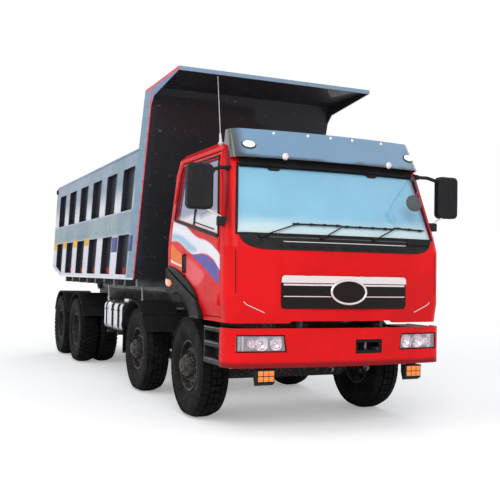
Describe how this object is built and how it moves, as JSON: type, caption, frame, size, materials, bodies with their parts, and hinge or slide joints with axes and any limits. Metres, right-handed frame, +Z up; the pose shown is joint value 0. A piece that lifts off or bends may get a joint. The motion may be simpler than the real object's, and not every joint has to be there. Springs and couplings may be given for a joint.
{
  "type": "dump truck",
  "caption": "Forward-control tipping truck with twin-steer front axles, a driven tandem, a tilting cab and a ribbed rear-tipping body with a canopy over the cab.",
  "frame": {"origin": "on the ground under the middle of the truck's length and width", "axes": "+X to the truck's left, +Y rearwards, +Z up"},
  "size_m": [3.12, 9.04, 3.812],
  "materials": {
    "frame_paint": "satin",
    "cab_paint": "gloss",
    "body_paint": "satin",
    "engine_metal": "rough",
    "lamp_glass": "gloss",
    "amber": "gloss",
    "black_plastic": "matt",
    "axle_iron": "rough",
    "tank_metal": "polished",
    "glass_tint": "gloss",
    "visor_smoke": "gloss",
    "bright_trim": "polished",
    "seat_cloth": "soft",
    "dash_plastic": "matt",
    "tyre": "matt",
    "wheel_paint": "satin",
    "hoist_steel": "satin",
    "tail_red": "gloss",
    "step_metal": "satin"
  },
  "bodies": {
    "chassis": {"chassis_frame": "frame_paint", "engine": "engine_metal", "front_bumper": "cab_paint", "headlamps": "lamp_glass", "turn_lamps": "amber", "cab_steps": "step_metal", "front_axles": "axle_iron", "front_springs": "frame_paint", "rear_axles": "axle_iron", "tandem_suspension": "frame_paint", "prop_shafts": "axle_iron", "fuel_tank": "tank_metal", "air_reservoirs": "frame_paint", "battery_box": "frame_paint", "mudguards": "frame_paint", "hoist_subframe": "frame_paint", "hoist_cradle": "frame_paint", "rear_lamps": "tail_red"},
    "cab": {"cab_shell": "cab_paint", "windscreen": "glass_tint", "grille": "bright_trim", "wipers": "black_plastic", "sun_visor": "visor_smoke", "arch_flares": "black_plastic", "mirrors": "black_plastic", "seats": "seat_cloth", "dashboard": "dash_plastic", "steering_wheel": "black_plastic"},
    "door_right": {"door_right": "cab_paint", "door_glass_right": "glass_tint"},
    "door_left": {"door_left": "cab_paint", "door_glass_left": "glass_tint"},
    "dump_body": {"dump_body": "body_paint"},
    "tailgate": {"tailgate": "body_paint"},
    "hoist_barrel": {"hoist_barrel": "frame_paint"},
    "hoist_stage_1": {"hoist_stage_1": "hoist_steel"},
    "hoist_stage_2": {"hoist_stage_2": "hoist_steel"},
    "hoist_stage_3": {"hoist_stage_3": "hoist_steel"},
    "knuckle_1r": {"knuckle_1r": "axle_iron"},
    "knuckle_1l": {"knuckle_1l": "axle_iron"},
    "knuckle_2r": {"knuckle_2r": "axle_iron"},
    "knuckle_2l": {"knuckle_2l": "axle_iron"},
    "wheel_1r": {"wheel_1r": "wheel_paint", "tyre_1r": "tyre"},
    "wheel_1l": {"wheel_1l": "wheel_paint", "tyre_1l": "tyre"},
    "wheel_2r": {"wheel_2r": "wheel_paint", "tyre_2r": "tyre"},
    "wheel_2l": {"wheel_2l": "wheel_paint", "tyre_2l": "tyre"},
    "wheel_3r": {"wheel_3r": "wheel_paint", "tyre_3r": "tyre"},
    "wheel_3l": {"wheel_3l": "wheel_paint", "tyre_3l": "tyre"},
    "wheel_4r": {"wheel_4r": "wheel_paint", "tyre_4r": "tyre"},
    "wheel_4l": {"wheel_4l": "wheel_paint", "tyre_4l": "tyre"}
  },
  "joints": [
    {"name": "cab_tilt", "type": "hinge", "parent": "chassis", "child": "cab", "pos_m": [0, -4.4, 1.04], "axis": [1, 0, 0], "range_deg": [0, 45]},
    {"name": "door_right_hinge", "type": "hinge", "parent": "cab", "child": "door_right", "pos_m": [-1.225, -4.204, 1.5], "axis": [0, 0, 1], "range_deg": [0, 70]},
    {"name": "door_left_hinge", "type": "hinge", "parent": "cab", "child": "door_left", "pos_m": [1.225, -4.204, 1.5], "axis": [0, 0, -1], "range_deg": [0, 70]},
    {"name": "steer_1r", "type": "hinge", "parent": "chassis", "child": "knuckle_1r", "pos_m": [-0.93, -3.19, 0.54], "axis": [0, 0, 1], "range_deg": [-35, 35]},
    {"name": "steer_1l", "type": "hinge", "parent": "chassis", "child": "knuckle_1l", "pos_m": [0.93, -3.19, 0.54], "axis": [0, 0, 1], "range_deg": [-35, 35]},
    {"name": "steer_2r", "type": "hinge", "parent": "chassis", "child": "knuckle_2r", "pos_m": [-0.93, -1.24, 0.54], "axis": [0, 0, 1], "range_deg": [-25, 25]},
    {"name": "steer_2l", "type": "hinge", "parent": "chassis", "child": "knuckle_2l", "pos_m": [0.93, -1.24, 0.54], "axis": [0, 0, 1], "range_deg": [-25, 25]},
    {"name": "spin_1r", "type": "hinge", "parent": "knuckle_1r", "child": "wheel_1r", "pos_m": [-1.03, -3.19, 0.54], "axis": [1, 0, 0], "continuous": true},
    {"name": "spin_1l", "type": "hinge", "parent": "knuckle_1l", "child": "wheel_1l", "pos_m": [1.03, -3.19, 0.54], "axis": [1, 0, 0], "continuous": true},
    {"name": "spin_2r", "type": "hinge", "parent": "knuckle_2r", "child": "wheel_2r", "pos_m": [-1.03, -1.24, 0.54], "axis": [1, 0, 0], "continuous": true},
    {"name": "spin_2l", "type": "hinge", "parent": "knuckle_2l", "child": "wheel_2l", "pos_m": [1.03, -1.24, 0.54], "axis": [1, 0, 0], "continuous": true},
    {"name": "spin_3r", "type": "hinge", "parent": "chassis", "child": "wheel_3r", "pos_m": [-0.925, 2.32, 0.54], "axis": [1, 0, 0], "continuous": true},
    {"name": "spin_3l", "type": "hinge", "parent": "chassis", "child": "wheel_3l", "pos_m": [0.925, 2.32, 0.54], "axis": [1, 0, 0], "continuous": true},
    {"name": "spin_4r", "type": "hinge", "parent": "chassis", "child": "wheel_4r", "pos_m": [-0.925, 3.67, 0.54], "axis": [1, 0, 0], "continuous": true},
    {"name": "spin_4l", "type": "hinge", "parent": "chassis", "child": "wheel_4l", "pos_m": [0.925, 3.67, 0.54], "axis": [1, 0, 0], "continuous": true},
    {"name": "body_tip", "type": "hinge", "parent": "chassis", "child": "dump_body", "pos_m": [0, 3.9, 1.27], "axis": [-1, 0, 0], "range_deg": [0, 48]},
    {"name": "tailgate_swing", "type": "hinge", "parent": "dump_body", "child": "tailgate", "pos_m": [0, 4.1745, 3.02], "axis": [1, 0, 0], "range_deg": [0, 60]},
    {"name": "hoist_swing", "type": "hinge", "parent": "chassis", "child": "hoist_barrel", "pos_m": [0, -2.12, 1.01], "axis": [-1, 0, 0], "range_deg": [0, 24.5]},
    {"name": "hoist_slide_1", "type": "slide", "parent": "hoist_barrel", "child": "hoist_stage_1", "axis": [0, 0.1154, 0.9933], "range_m": [0, 1.561]},
    {"name": "hoist_slide_2", "type": "slide", "parent": "hoist_stage_1", "child": "hoist_stage_2", "axis": [0, 0.1154, 0.9933], "range_m": [0, 1.561]},
    {"name": "hoist_slide_3", "type": "slide", "parent": "hoist_stage_2", "child": "hoist_stage_3", "axis": [0, 0.1154, 0.9933], "range_m": [0, 1.561]}
  ],
  "couplings": [
    {"joint": "steer_1l", "follows": "steer_1r", "ratio": 1},
    {"joint": "steer_2r", "follows": "steer_1r", "ratio": 0.7},
    {"joint": "steer_2l", "follows": "steer_1r", "ratio": 0.7},
    {"joint": "hoist_swing", "follows": "body_tip", "ratio": 0.5},
    {"joint": "hoist_slide_1", "follows": "body_tip", "m_per_rad": 1.8602},
    {"joint": "hoist_slide_2", "follows": "body_tip", "m_per_rad": 1.8602},
    {"joint": "hoist_slide_3", "follows": "body_tip", "m_per_rad": 1.8602}
  ]
}
